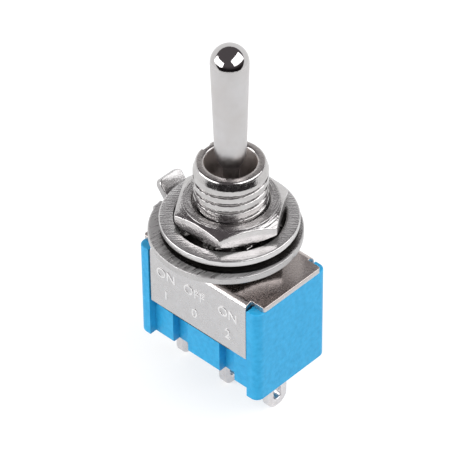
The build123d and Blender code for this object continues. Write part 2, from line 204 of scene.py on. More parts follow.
def plateRing(inner, outer, low, high, edges, steps=4):
    # Plate between two plan curves with as many points each: at every point the section is the box from
    # the inner curve to the outer one, low to high, with its four edges rounded
    span = outer - inner
    width = np.linalg.norm(span, axis=1)
    flat = np.zeros_like(width)
    box = np.stack(
        [
            np.stack([flat, flat + low], axis=-1),
            np.stack([flat, flat + high], axis=-1),
            np.stack([width, flat + high], axis=-1),
            np.stack([width, flat + low], axis=-1),
        ],
        axis=1,
    )
    section = roundCorners(box, np.array(edges), steps)
    plan = inner[:, None, :] + span[:, None, :] * (section[..., :1] / width[:, None, None])
    points = np.concatenate([plan, section[..., 1:]], axis=-1)
    return points, ringFaces(*points.shape[:2])


def turnedSolid(profile, count):
    # Half section (r, z) whose two ends lie on the axis, turned about Z; the ends become single poles
    angle = np.linspace(0, 2 * np.pi, count, endpoint=False)
    r, z = profile[1:-1, :1], profile[1:-1, 1:]
    rings = np.stack(np.broadcast_arrays(r * np.cos(angle), r * np.sin(angle), z), axis=-1)
    poles = np.array([[0, 0, profile[0, 1]], [0, 0, profile[-1, 1]]])
    points = np.concatenate([rings.reshape(-1, 3), poles])
    return points, spindleFaces(len(profile) - 2, count)


def closeEnds(rings):
    # Rings along a path, with the middle of the first and of the last one as the two poles
    ends = np.stack([rings[0].mean(axis=0), rings[-1].mean(axis=0)])
    return np.concatenate([rings.reshape(-1, 3), ends]), spindleFaces(*rings.shape[:2])


def sweptBar(centres, across, outwards, halfWidth, halfThick, corner, steps=3):
    # Bar along a path: at each station a rounded box, halfWidth along "across" and halfThick along
    # "outwards"; the ends are closed by a fan
    box = boxCorners[None] * np.stack([halfWidth, halfThick], axis=-1)[:, None, :]
    section = roundCorners(box, corner, steps)
    points = centres[:, None, :] + section[..., :1] * across[:, None, :]
    return closeEnds(points + section[..., 1:] * outwards[:, None, :])


def circle(radius, angles, centre=(0, 0)):
    return np.stack([centre[0] + radius * np.cos(angles), centre[1] + radius * np.sin(angles)], axis=-1)


def softCopy(node, name, body, material, width, segments=2, crease=35, flatAngle=0.6):
    # The CAD node's own form, its triangles merged into whole faces where they lie within flatAngle
    # degrees, with its edges rounded by a bevel
    mesh = cadNodes[node].data.copy()
    mesh.name = name
    work = bmesh.new()
    work.from_mesh(mesh)
    bmesh.ops.remove_doubles(work, verts=work.verts, dist=tiny * mm)
    flat = math.radians(flatAngle)
    bmesh.ops.dissolve_limit(work, angle_limit=flat, verts=work.verts, edges=work.edges)
    work.to_mesh(mesh)
    work.free()
    piece = dressMesh(name, mesh, material, crease)
    bevel = piece.modifiers.new("softEdges", "BEVEL")
    bevel.width = width * mm
    bevel.segments = segments
    bevel.limit_method = "ANGLE"
    bevel.angle_limit = math.radians(crease)
    bevel.use_clamp_overlap = True
    bevel.harden_normals = False
    registerPiece(piece, [node], body)
    print("piece", name, "from", node)


# Materials


def addNode(tree, kind, values=None, **settings):
    node = tree.nodes.new(kind)
    for key, value in settings.items():
        setattr(node, key, value)
    for key, value in (values or {}).items():
        if isinstance(value, bpy.types.NodeSocket):
            tree.links.new(value, node.inputs[key])
        else:
            node.inputs[key].default_value = value
    return node


def grey(value):
    return (value, value, value, 1)


def speckle(tree, place, scale, detail=2.0):
    noise = addNode(tree, "ShaderNodeTexNoise", {"Vector": place, "Scale": scale, "Detail": detail})
    return noise.outputs["Fac"]


def remap(tree, value, low, high, start=0.3, end=0.7):
    # From start..end, which is where a noise's values mostly lie, to low..high
    out = addNode(
        tree,
        "ShaderNodeMapRange",
        {"Value": value, "From Min": start, "From Max": end, "To Min": low, "To Max": high},
    )
    return out.outputs["Result"]


def smoothStep(tree, value, start, end):
    out = addNode(
        tree,
        "ShaderNodeMapRange",
        {"Value": value, "From Min": start, "From Max": end},
        interpolation_type="SMOOTHSTEP",
    )
    return out.outputs["Result"]


def product(tree, first, second):
    out = addNode(tree, "ShaderNodeMath", {0: first, 1: second}, operation="MULTIPLY")
    return out.outputs[0]


def upPart(tree, direction):
    return addNode(tree, "ShaderNodeSeparateXYZ", {"Vector": direction}).outputs["Z"]


def axisReach(tree, place):
    # Distance from the Z axis
    flat = addNode(tree, "ShaderNodeVectorMath", {0: place, 1: (1, 1, 0)}, operation="MULTIPLY")
    reach = addNode(tree, "ShaderNodeVectorMath", {0: flat.outputs["Vector"]}, operation="LENGTH")
    return reach.outputs["Value"]


def sheetGrain(tree, place, turn, along, across):
    # Straight rolled grain: noise on coordinates turned about Z, tight across the grain and long along it
    laid = addNode(
        tree,
        "ShaderNodeMapping",
        {
            "Vector": place,
            "Rotation": (0, 0, math.radians(turn)),
            "Scale": (1 / along, 1 / across, 1 / across),
        },
        vector_type="TEXTURE",
    )
    return speckle(tree, laid.outputs["Vector"], 1.0, 3.0)


def turnedMarks(tree, place, across, drift=0.10):
    # Concentric tool marks: noise that changes quickly with the distance from the Z axis and slowly,
    # by drift, along the marks
    slow = addNode(tree, "ShaderNodeVectorMath", {0: place, "Scale": drift}, operation="SCALE")
    radial = addNode(tree, "ShaderNodeCombineXYZ", {"X": axisReach(tree, place)})
    both = {0: radial.outputs["Vector"], 1: slow.outputs["Vector"]}
    laid = addNode(tree, "ShaderNodeVectorMath", both, operation="ADD")
    return speckle(tree, laid.outputs["Vector"], across, 3.0)


def heightMask(tree, place, low, high):
    # Nought below the low level and one above the high one, in millimetres along Z
    return smoothStep(tree, upPart(tree, place), low * mm, high * mm)


def boreMask(tree, place, radius, fade=0.06):
    # One inside a cylinder about Z, nought outside it
    return remap(tree, axisReach(tree, place), 1.0, 0.0, radius * mm, (radius + fade) * mm)


def underMask(tree, full=-0.55, none=-0.25):
    # One on faces that look down, nought on upright and upper ones
    turned = addNode(tree, "ShaderNodeTexCoord").outputs["Normal"]
    return remap(tree, upPart(tree, turned), 1.0, 0.0, full, none)


def rimMask(tree, place, rim):
    # One outside a cylinder about Z and below a level, broken up by lines, for which the rim gives the
    # turn, the reach along and the reach across
    outside = remap(tree, boreMask(tree, place, rim["radius"]), 1.0, 0.0, 0.0, 1.0)
    lower = remap(tree, heightMask(tree, place, *rim["z"]), 1.0, 0.0, 0.0, 1.0)
    lines = remap(tree, sheetGrain(tree, place, *rim["lines"]), *rim["share"])
    return product(tree, product(tree, outside, lower), lines)


def blend(tree, mask, first, second):
    out = addNode(tree, "ShaderNodeMix", {0: mask, 2: first, 3: second}, data_type="FLOAT")
    return out.outputs[0]


def blendColour(tree, mask, first, second):
    out = addNode(tree, "ShaderNodeMix", {0: mask, 6: first, 7: second}, data_type="RGBA")
    return out.outputs[2]


def newMaterial(name):
    material = bpy.data.materials.new(name)
    material.use_nodes = True
    tree = material.node_tree
    return material, tree, tree.nodes["Principled BSDF"]


def finishZones(tree, place, look):
    # The zones that a look has, each with the mask that is one inside it
    zones = []
    if "above" in look:
        zones.append((look["above"], heightMask(tree, place, *look["above"]["z"])))
    if "bore" in look:
        within = boreMask(tree, place, look["bore"]["radius"])
        if "z" in look["bore"]:
            within = product(tree, within, heightMask(tree, place, *look["bore"]["z"]))
        zones.append((look["bore"], within))
    if "under" in look:
        zones.append((look["under"], underMask(tree)))
    if "rim" in look:
        zones.append((look["rim"], rimMask(tree, place, look["rim"])))
    return zones


def metalFinish(name, look, wearScale=2.3):
    # Plated metal: two tints in soft patches, and roughness that wanders in patches wearScale times as
    # fine. Tint, roughness and metallic share may change above a level, inside a bore, on the underside or
    # towards an outer rim; the zone tints are painted light: painted shade in bores and on under and hidden
    # faces, painted reflection tone on tops, and at the rim a lower metallic share that paints a lit band.
    # The bump is mottling plus, where the look has them, straight sheet grain or turning marks
    material, tree, shader = newMaterial(name)
    metallic = look.get("metallic", 1.0)
    shader.inputs["Metallic"].default_value = metallic
    place = addNode(tree, "ShaderNodeTexCoord").outputs["Object"]
    patches = remap(tree, speckle(tree, place, look["patches"], 3.0), 0.0, 1.0)
    tint = blendColour(tree, patches, (*look["dark"], 1), (*look["light"], 1))
    wear = speckle(tree, place, look["patches"] * wearScale)
    roughness = remap(tree, wear, *look["roughness"])
    for zone, mask in finishZones(tree, place, look):
        roughness = blend(tree, mask, roughness, remap(tree, wear, *zone["roughness"]))
        # A zone's tint is painted light: painted shade in bores, on undersides and on hidden faces, painted
        # reflection tone on tops, and with a lower metallic share a painted lit band
        if "tint" in zone:
            tint = blendColour(tree, mask, tint, (*zone["tint"], 1))
        if "metallic" in zone:
            metallic = blend(tree, mask, metallic, zone["metallic"])
            tree.links.new(metallic, shader.inputs["Metallic"])
    tree.links.new(tint, shader.inputs["Base Color"])
    tree.links.new(roughness, shader.inputs["Roughness"])
    layers = [(speckle(tree, place, look["mottle"], 3.0), look["mottleHeight"])]
    if "grain" in look:
        grain = look["grain"]
        lines = sheetGrain(tree, place, grain["turn"], grain["along"], grain["across"])
        if "fade" in grain:
            faded = heightMask(tree, place, *grain["fade"])
            lines = product(tree, lines, remap(tree, faded, 1.0, grain["kept"], 0.0, 1.0))
        layers.append((lines, grain["height"]))
    if "marks" in look:
        layers.append((turnedMarks(tree, place, look["marks"]["across"]), look["marks"]["height"]))
    normal = None
    for height, distance in layers:
        values = {"Height": height, "Distance": distance * mm, "Strength": 1.0}
        if normal:
            values["Normal"] = normal
        normal = addNode(tree, "ShaderNodeBump", values).outputs["Normal"]
    tree.links.new(normal, shader.inputs["Normal"])
    return material


def plasticFinish(name, look, wanderScale=3.0):
    # Moulded plastic: two shades in soft clouds, a fine pebbled bump, and roughness that wanders in
    # patches wanderScale times as fine
    material, tree, shader = newMaterial(name)
    place = addNode(tree, "ShaderNodeTexCoord").outputs["Object"]
    clouds = remap(tree, speckle(tree, place, look["clouds"], 3.0), 0.0, 1.0)
    shade = blendColour(tree, clouds, (*look["dark"], 1), (*look["light"], 1))
    tree.links.new(shade, shader.inputs["Base Color"])
    wander = speckle(tree, place, look["clouds"] * wanderScale)
    tree.links.new(remap(tree, wander, *look["roughness"]), shader.inputs["Roughness"])
    pebbles = speckle(tree, place, look["grain"], 3.0)
    values = {"Height": pebbles, "Distance": look["grainHeight"] * mm, "Strength": 1.0}
    bump = addNode(tree, "ShaderNodeBump", values)
    tree.links.new(bump.outputs["Normal"], shader.inputs["Normal"])
    return material


plasticLooks = {
    "blueMoulding": {
        "dark": (0.008, 0.315, 0.615),
        "light": (0.024, 0.395, 0.720),
        "clouds": 2400.0,
        "roughness": (0.36, 0.50),
        "grain": 6500.0,
        "grainHeight": 0.018,
    },
    "whiteNylon": {
        "dark": (0.80, 0.79, 0.74),
        "light": (0.88, 0.87, 0.83),
        "clouds": 1500.0,
        "roughness": (0.35, 0.45),
        "grain": 5000.0,
        "grainHeight": 0.004,
    },
}
metalLooks = {
    "leverNickel": {
        "dark": (0.588, 0.568, 0.562),
        "light": (0.640, 0.630, 0.638),
        "patches": 520.0,
        "roughness": (0.28, 0.34),
        "above": {"z": (18.45, 18.75), "roughness": (0.04, 0.08)},
        "mottle": 5200.0,
        "mottleHeight": 0.004,
        "marks": {"across": 3000.0, "height": 0.002},
    },
    "threadNickel": {
        "dark": (0.54, 0.525, 0.52),
        "light": (0.61, 0.595, 0.59),
        "patches": 1500.0,
        "roughness": (0.10, 0.20),
        # Rim top: rougher, with a warmer tint that is painted reflection tone
        "above": {"z": (9.02, 9.045), "roughness": (0.24, 0.34), "tint": (0.56, 0.53, 0.515)},
        # Inside the mouth: darker tint, painted shade in the bore
        "bore": {"radius": 2.02, "roughness": (0.34, 0.48), "tint": (0.49, 0.45, 0.43)},
        "mottle": 6500.0,
        "mottleHeight": 0.010,
    },
    "nutNickel": {
        "dark": (0.57, 0.555, 0.55),
        "light": (0.65, 0.635, 0.635),
        "patches": 1100.0,
        "roughness": (0.15, 0.24),
        "bore": {"radius": 3.72, "roughness": (0.20, 0.28)},
        # Faces that look down: near-black tint, painted shade under the nut
        "under": {"roughness": (0.40, 0.50), "tint": (0.10, 0.095, 0.09)},
        "mottle": 6000.0,
        "mottleHeight": 0.016,
        "marks": {"across": 7000.0, "height": 0.046},
    },
    "lockWasherSteel": {
        "dark": (0.63, 0.62, 0.62),
        "light": (0.72, 0.71, 0.71),
        "metallic": 0.86,
        "patches": 900.0,
        "roughness": (0.16, 0.24),
        # Hole and teeth: darker tint, painted shade inside the ring
        "bore": {
            "radius": 4.34,
            "roughness": (0.20, 0.28),
            "tint": (0.42, 0.41, 0.40),
            "metallic": 1.0,
        },
        # Faces that look down: near-black tint, painted shade under the ring and in the gap below it
        "under": {"roughness": (0.40, 0.50), "tint": (0.12, 0.11, 0.105), "metallic": 1.0},
        "mottle": 6500.0,
        "mottleHeight": 0.012,
        "grain": {"turn": 44.0, "along": 700.0, "across": 6800.0, "height": 0.017},
    },
    "tabWasherSteel": {
        "dark": (0.45, 0.44, 0.44),
        "light": (0.56, 0.55, 0.55),
        "patches": 900.0,
        "roughness": (0.20, 0.28),
        # Top face under the lock washer: near-black tint, painted shade
        "bore": {
            "radius": 5.20,
            "z": (2.15, 2.25),
            "roughness": (0.35, 0.45),
            "tint": (0.16, 0.15, 0.14),
        },
        # Outer band of the top face: less metallic so the fill lights it, a painted lit band
        "rim": {
            "radius": 5.47,
            "z": (2.50, 2.60),
            "lines": (82.0, 900.0, 7500.0),
            "share": (0.10, 0.95),
            "metallic": 0.35,
            "roughness": (0.32, 0.42),
            "tint": (0.48, 0.47, 0.47),
        },
        "mottle": 6500.0,
        "mottleHeight": 0.010,
        "grain": {
            "turn": 82.0,
            "along": 700.0,
            "across": 6500.0,
            "height": 0.018,
            "fade": (2.45, 2.75),
            "kept": 0.25,
        },
    },
    "frameSteel": {
        "dark": (0.600, 0.588, 0.592),
        "light": (0.650, 0.640, 0.645),
        "patches": 1300.0,
        "roughness": (0.24, 0.34),
        # Top plate: warmer tint, painted reflection tone
        "above": {"z": (-0.30, -0.12), "roughness": (0.21, 0.29), "tint": (0.60, 0.545, 0.525)},
        "mottle": 5000.0,
        "mottleHeight": 0.005,
        "grain": {"turn": 0.0, "along": 1200.0, "across": 6000.0, "height": 0.003},
    },
    # Raised marks: paler than the plate steel, a painted glint
    "markPaintedGlint": {
        "dark": (0.80, 0.79, 0.79),
        "light": (0.90, 0.89, 0.89),
        "patches": 2200.0,
        "roughness": (0.14, 0.22),
        "mottle": 5000.0,
        "mottleHeight": 0.006,
    },
    "tinnedLug": {
        "dark": (0.74, 0.71, 0.71),
        "light": (0.84, 0.81, 0.81),
        "patches": 1400.0,
        "roughness": (0.24, 0.40),
        "mottle": 2600.0,
        "mottleHeight": 0.02,
    },
    "innerSteel": {
        "dark": (0.48, 0.48, 0.48),
        "light": (0.56, 0.56, 0.56),
        "patches": 2500.0,
        "roughness": (0.20, 0.32),
        "mottle": 8000.0,
        "mottleHeight": 0.003,
    },
    "silveredBrass": {
        "dark": (0.72, 0.69, 0.60),
        "light": (0.80, 0.78, 0.72),
        "patches": 1800.0,
        "roughness": (0.22, 0.34),
        "mottle": 5000.0,
        "mottleHeight": 0.004,
    },
    "silverContact": {
        "dark": (0.78, 0.77, 0.74),
        "light": (0.86, 0.85, 0.83),
        "patches": 2600.0,
        "roughness": (0.24, 0.36),
        "mottle": 7000.0,
        "mottleHeight": 0.004,
    },
}
finishes = {name: plasticFinish(name, look) for name, look in plasticLooks.items()}
finishes |= {name: metalFinish(name, look) for name, look in metalLooks.items()}
print("materials made:", len(finishes))

# Threaded bushing

bushingShape = {
    "crest": 2.90,
    "pitch": 0.75,
    "grooveDepth": 0.20,
    "grooveHalfWidth": 0.15,
    "grooveShape": 0.8,
    "runOut": 0.12,
    "nutZones": ((0.16, 1.93), (3.63, 5.30)),
    "core": 2.69,
    "top": 9.05,
    "rimFlat": 2.54,
    "threadTop": 8.30,
    "shoulderR": 2.735,
    "shoulderZ": 8.82,
    "shoulderBend": 72,
    "freeThread": 5.28,
    "threadSteps": (0.025, 0.07),
    "segments": 200,
    "mouth": 2.03,
    "mouthEdge": ((-0.012, -0.15), (0.038, -0.075), (0.072, -0.022), (0.11, 0.0)),
    "throat": 1.60,
    "seat": 2.20,
    "pivot": 4.55,
    "boreRings": (1.0, 2.5, 3.85),
    "bottom": -1.30,
    "lip": 3.50,
    "lipTop": 0.22,
    "lipEdge": (0.10, 0.08),
    "keyFloor": 2.40,
    "keyHalf": 0.55,
    "keySides": (0.187, 0.193),
    "pinGroove": 2.47,
    "pinGrooveHalf": 0.48,
    "pinSide": 0.215,
    "slotHalf": 1.20,
    "slotReach": 2.65,
    "slotNarrowing": 0.25,
    "slotTop": -0.50,
    "overlap": 0.02,
    "flangeHalf": (5.0, 3.2),
    "flangeCorner": 0.4,
    "flangeSide": 0.5,
    "flangeEdges": (0.02, 0.02, 0.05, 0.05),
}


def bushingProfile(s):
    # Closed half section: up the bore, over the ball seat, out through the mouth, across the rim, down
    # the thread, and back under the staked lip
    throatZ = s["pivot"] + math.sqrt(s["seat"] ** 2 - s["throat"] ** 2)
    last = math.asin((throatZ - s["pivot"]) / s["seat"])
    turn = np.linspace(0, last, 9)
    seat = np.stack([s["seat"] * np.cos(turn), s["pivot"] + s["seat"] * np.sin(turn)], axis=-1)
    slotZ = [s["slotTop"] - s["overlap"], s["slotTop"] + s["overlap"]]
    boreZ = [s["bottom"], *slotZ, *s["boreRings"]]
    bore = np.stack([np.full(len(boreZ), s["seat"]), boreZ], axis=-1)
    mouth = np.array([s["mouth"], s["top"]]) + s["mouthEdge"]
    rim = [[(s["mouth"] + s["rimFlat"]) / 2, s["top"]]]
    bend = np.linspace(0, math.radians(s["shoulderBend"]), 10)
    out = np.sin(bend) / math.sin(bend[-1])
    rise = (np.cos(bend) - math.cos(bend[-1])) / (1 - math.cos(bend[-1]))
    shoulderStart = np.array([s["shoulderR"], s["shoulderZ"]])
    shoulder = np.stack(
        [
            s["rimFlat"] + (s["shoulderR"] - s["rimFlat"]) * out,
            s["shoulderZ"] + (s["top"] - s["shoulderZ"]) * rise,
        ],
        axis=-1,
    )
    t = np.linspace(0, 1, 7)[1:, None]
    lead = shoulderStart * (1 - t) + np.array([s["crest"], s["threadTop"]]) * t
    fineStep, coarseStep = s["threadSteps"]
    fine = np.arange(s["threadTop"] - fineStep, s["freeThread"], -fineStep)
    down = np.concatenate([fine, np.arange(s["freeThread"], s["lipTop"], -coarseStep)])
    thread = np.stack([np.full_like(down, s["crest"]), down], axis=-1)
    lipIn, lipDown = s["lipEdge"]
    foot = [
        [s["core"], s["lipTop"]],
        [s["lip"] - lipIn, s["lipTop"]],
        [s["lip"], s["lipTop"] - lipDown],
    ]
    under = [[s["lip"], 0.0], [s["crest"], 0.0], [s["crest"], s["bottom"]]]
    return np.concatenate([bore, seat, mouth, rim, shoulder, lead, thread, foot, under])


def bushingSleeve(s):
    # The half section turned about Z, with extra angles at the sides of the keyway and of the pin's
    # grooves. Thread: the radius falls by a raised cosine whose middle lies at z / pitch - angle / turn
    # = 1/2, except where the nuts sit; the keyway caps it at a flat on -X
    keySides = np.pi + np.outer([-1, 1], s["keySides"]).ravel()
    pinSides = np.add.outer([-np.pi / 2, np.pi / 2], [-s["pinSide"], s["pinSide"]]).ravel()
    even = np.linspace(-np.pi, np.pi, s["segments"], endpoint=False)
    angle = np.concatenate([even, keySides, pinSides])
    angle = np.unique(np.round(np.mod(angle, 2 * np.pi), 5))[:, None]
    sideways, forwards = np.abs(np.sin(angle)), np.cos(angle)
    profile = bushingProfile(s)
    plain, z = profile[None, :, 0], profile[None, :, 1]
    aboveLip = z > s["lipTop"] + tiny
    gap = np.abs(np.mod(z / s["pitch"] - angle / (2 * np.pi), 1) - 0.5) * s["pitch"]
    share = np.clip(gap / s["grooveHalfWidth"], 0, 1)
    groove = s["grooveDepth"] * (0.5 + 0.5 * np.cos(np.pi * share)) ** s["grooveShape"]
    fade = np.clip((s["threadTop"] - z) / s["runOut"], 0, 1)
    cut = s["crest"] - groove * fade
    for low, high in s["nutZones"]:
        cut = np.where((z > low) & (z < high), np.minimum(cut, s["core"]), cut)
    isThread = (z < s["threadTop"]) & aboveLip & (plain > s["shoulderR"])
    r = np.where(isThread, cut, plain)
    inKey = (sideways * s["crest"] < s["keyHalf"]) & (forwards < 0)
    keyR = s["keyFloor"] / np.where(inKey, -forwards, 1)
    r = np.where(inKey & aboveLip, np.minimum(r, keyR), r)
    isBore = (plain < s["seat"] + tiny) & (z < s["pivot"] + s["pinGrooveHalf"])
    nearPin = np.abs(forwards) * s["seat"] < s["pinGrooveHalf"]
    r = np.where(isBore & nearPin, s["pinGroove"], r)
    slotSide = s["slotHalf"] / np.maximum(sideways, tiny)
    slotEnd = s["slotReach"] * (1 - s["slotNarrowing"] * sideways)
    slotR = np.maximum(s["seat"], np.minimum(slotSide, slotEnd))
    r = np.where(isBore & (z < s["slotTop"]), slotR, r)
    points = np.stack([r * forwards, r * np.sin(angle), z + 0 * angle], axis=-1)
    return points, ringFaces(*points.shape[:2])


def bushingFlange(s):
    # Plate under the frame: a rounded rectangle around the sleeve
    corners = boxCorners * s["flangeHalf"]
    outer = splitLong(roundCorners(corners, s["flangeCorner"], 6), s["flangeSide"])
    inner = circle(s["crest"] - s["overlap"], np.arctan2(outer[:, 1], outer[:, 0]))
    return plateRing(inner, outer, s["bottom"], s["slotTop"], s["flangeEdges"], 3)


addPiece(
    "threadedBushing",
    [bushingSleeve(bushingShape), bushingFlange(bushingShape)],
    ["bushing"],
    "housing",
    finishes["threadNickel"],
)

# Hex nuts

nutShape = {
    "flats": 8.00,
    "thick": 1.65,
    "chamferR": 3.80,
    "faceR": 3.74,
    "faceStep": 0.035,
    "chamferDrop": 0.46,
    "bore": 2.72,
    "boreChamfer": 0.38,
    "stepOut": 0.02,
    "cornerRound": 0.16,
    "side": 0.28,
    "edges": (0.02, 0.05, 0.02, 0.02, 0.07, 0.06),
    "upper": (3.69, -58),
    "lower": (0.22, 11),
}


def hexNut(s, seat, turn):
    # Hexagon with rounded corners, on its seat's height and turned about Z. At each point of its outline
    # the section runs from the bore to the flat and back along the other face. Both faces are given by
    # radius and depth, and the chamfer drops by (r - chamferR) / (corner - chamferR) of its full drop
    spin = np.radians(turn + 60 * np.arange(6))
    cornerR = s["flats"] / 2 / math.cos(math.pi / 6)
    outline = splitLong(roundCorners(circle(cornerR, spin), s["cornerRound"], 5), s["side"])
    reach = np.linalg.norm(outline, axis=1)
    drop = s["chamferDrop"] * (reach - s["chamferR"]) / (cornerR - s["chamferR"])
    flat = 0 * reach
    rows = [
        (flat + s["bore"], flat + s["boreChamfer"]),
        (flat + s["bore"] + s["boreChamfer"], flat),
        (flat + s["faceR"], flat),
        (flat + s["faceR"] + s["stepOut"], flat + s["faceStep"]),
        (flat + s["chamferR"], flat + s["faceStep"]),
        (reach, s["faceStep"] + drop),
    ]
    face = np.stack([np.stack(row, axis=-1) for row in rows], axis=1)
    upper = face * [1, -1] + [0, seat + s["thick"]]
    lower = face[:, ::-1] + [0, seat]
    corners = np.concatenate([upper, lower], axis=1)
    rounded = roundCorners(corners, np.array(s["edges"] + s["edges"][::-1]), 4)
    plan = (outline / reach[:, None])[:, None, :] * rounded[..., :1]
    points = np.concatenate([plan, rounded[..., 1:]], axis=-1)
    return points, ringFaces(*points.shape[:2])


addPiece(
    "upperHexNut",
    [hexNut(nutShape, *nutShape["upper"])],
    ["upper_nut"],
    "housing",
    finishes["nutNickel"],
)
addPiece(
    "lowerHexNut",
    [hexNut(nutShape, *nutShape["lower"])],
    ["lower_nut"],
    "housing",
    finishes["nutNickel"],
)

# Lock washer with twisted inner teeth

lockShape = {
    "radius": 5.44,
    "hole": 4.32,
    "low": 3.12,
    "high": 3.67,
    "centre": (-0.09, -0.09),
    "teeth": 9,
    "firstTooth": 2.5,
    "tip": 3.15,
    "width": 1.25,
    "twist": 28.0,
    "twistShare": 0.38,
    "toothZ": 3.09,
    "root": 0.20,
    "taper": 0.1,
    "toothEdge": 0.06,
    "edges": (0.06, 0.10, 0.14, 0.06),
    "segments": 144,
}


def lockTooth(s, turn):
    # Flat bar from the ring inwards; its twist about its own length grows from 0 to full in the first
    # part of it, while its middle sinks from the ring's height to the stack's
    share = np.linspace(0, 1, 9)
    ramp = np.clip(share / s["twistShare"], 0, 1)
    ramp = ramp * ramp * (3 - 2 * ramp)
    reach = (s["hole"] + s["root"]) * (1 - share) + s["tip"] * share
    ringZ = (s["low"] + s["high"]) / 2
    height = ringZ + (s["toothZ"] - ringZ) * ramp
    twist = np.radians(s["twist"]) * ramp
    radial = np.array([math.cos(turn), math.sin(turn), 0])
    side = np.array([-math.sin(turn), math.cos(turn), 0])
    upward = np.array([0, 0, 1])
    centres = reach[:, None] * radial + height[:, None] * upward
    across = np.cos(twist)[:, None] * side + np.sin(twist)[:, None] * upward
    outwards = np.cos(twist)[:, None] * upward - np.sin(twist)[:, None] * side
    thick = np.full_like(share, (s["high"] - s["low"]) / 2)
    width = s["width"] / 2 * (1 - s["taper"] * share)
    return sweptBar(centres, across, outwards, width, thick, s["toothEdge"])


def lockRing(s):
    angles = np.linspace(0, 2 * np.pi, s["segments"], endpoint=False)
    inner = circle(s["hole"], angles, s["centre"])
    outer = circle(s["radius"], angles, s["centre"])
    return plateRing(inner, outer, s["low"], s["high"], s["edges"], 5)


toothTurns = np.linspace(0, 2 * np.pi, lockShape["teeth"], endpoint=False)
toothTurns = toothTurns + math.radians(lockShape["firstTooth"])
addPiece(
    "toothedLockWasher",
    [lockRing(lockShape)] + [lockTooth(lockShape, turn) for turn in toothTurns],
    ["lock_washer"],
    "housing",
    finishes["lockWasherSteel"],
)

# Tab washer

tabShape = {
    "radius": 6.02,
    "hole": 3.02,
    "low": 1.87,
    "thick": 0.62,
    "centre": (-0.30, -0.30),
    "segments": 150,
    "landReach": 5.82,
    "landHalf": 2.07,
    "landEnd": 1.55,
    "nick": 0.03,
    "cutStart": 4.81,
    "cutCorner": (0.05, 0.08),
    "tabHalf": 1.20,
    "tabY": -0.10,
    "bendR": 0.18,
    "bendAngle": 53.0,
    "tabHeight": 1.90,
    "tabRoot": 0.35,
    "tabEdge": 0.11,
    "endRound": 0.45,
    "endThin": (0.96, 0.78),
    "keyHalf": 0.45,
    "keyTip": 2.55,
    "keyRoot": 0.2,
    "keyEdge": 0.05,
    "edges": (0.05, 0.05, 0.14, 0.05),
}


def tabDisc(s):
    # Disc outline as one closed curve: the round rim, the flat land either side of the tab, and the
    # straight cut where the tab bends up
    start = math.pi - math.asin(s["landHalf"] / s["radius"])
    rim = circle(s["radius"], np.linspace(-start, start, s["segments"]))
    reach = math.sqrt(s["radius"] ** 2 - s["tabHalf"] ** 2)
    cornerOut, cornerIn = s["cutCorner"]
    upper = np.array(
        [
            [-s["landReach"], s["landHalf"] - s["nick"]],
            [-s["landReach"], s["landEnd"]],
            [-reach, s["tabHalf"] + s["nick"]],
            [-s["cutStart"] - cornerOut, s["tabHalf"]],
            [-s["cutStart"], s["tabHalf"] - cornerIn],
            [-s["cutStart"], s["tabHalf"] / 2],
            [-s["cutStart"], 0],
        ]
    )
    lower = upper[:-1][::-1] * [1, -1]
    outer = np.concatenate([rim, upper, lower])
    inner = circle(s["hole"], np.arctan2(outer[:, 1], outer[:, 0]))
    return plateRing(inner, outer + s["centre"], s["low"], s["low"] + s["thick"], s["edges"], 4)


def bentTab(s):
    # Strip that leaves the disc, turns up round a small bend and ends in rounded corners; its middle
    # line is straight, then an arc of the bend radius plus half the sheet, then straight again
    bend = math.radians(s["bendAngle"])
    half = s["thick"] / 2
    outerR, middleR = s["bendR"] + s["thick"], s["bendR"] + half
    leaf = (s["tabHeight"] - outerR * (1 - math.cos(bend))) / math.sin(bend)
    startX = s["centre"][0] - s["cutStart"]
    centreZ = s["low"] + outerR
    turn = np.linspace(0, bend, 9)
    rounding = 1 - np.sin(np.linspace(0, np.pi / 2, 7)[1:])
    straight = np.linspace(0, leaf - s["endRound"], 6)[1:]
    run = np.concatenate([straight, leaf - s["endRound"] * rounding])
    x = np.concatenate(
        [
            [startX + s["tabRoot"]],
            startX - middleR * np.sin(turn),
            startX - middleR * math.sin(bend) - run * math.cos(bend),
        ]
    )
    z = np.concatenate(
        [
            [centreZ - middleR],
            centreZ - middleR * np.cos(turn),
            centreZ - middleR * math.cos(bend) + run * math.sin(bend),
        ]
    )
    tilt = np.concatenate([[0], turn, np.full(len(run), bend)])
    past = np.clip(s["endRound"] - (leaf - run), 0, None)
    narrow = s["endRound"] - np.sqrt(np.clip(s["endRound"] ** 2 - past**2, 0, None))
    width = s["tabHalf"] - np.concatenate([np.zeros(len(x) - len(run)), narrow])
    thick = np.full(len(x), half)
    thick[-2:] = half * np.array(s["endThin"])
    centres = np.stack([x, np.full_like(x, s["tabY"]), z], axis=-1)
    across = np.tile([0.0, 1.0, 0.0], (len(x), 1))
    outwards = np.stack([np.sin(tilt), 0 * tilt, np.cos(tilt)], axis=-1)
    return sweptBar(centres, across, outwards, width, thick, s["tabEdge"], 4)


def tabKey(s):
    # Small tongue from the washer's hole into the keyway
    x = -np.linspace(s["hole"] + s["keyRoot"], s["keyTip"], 4)
    half = np.full_like(x, s["thick"] / 2)
    centres = np.stack([x, 0 * x, s["low"] + half], axis=-1)
    across = np.tile([0.0, 1.0, 0.0], (len(x), 1))
    outwards = np.tile([0.0, 0.0, 1.0], (len(x), 1))
    return sweptBar(centres, across, outwards, np.full_like(x, s["keyHalf"]), half, s["keyEdge"])


addPiece(
    "tabWasher",
    [tabDisc(tabShape), bentTab(tabShape), tabKey(tabShape)],
    ["tab_washer"],
    "housing",
    finishes["tabWasherSteel"],
)

# Lever

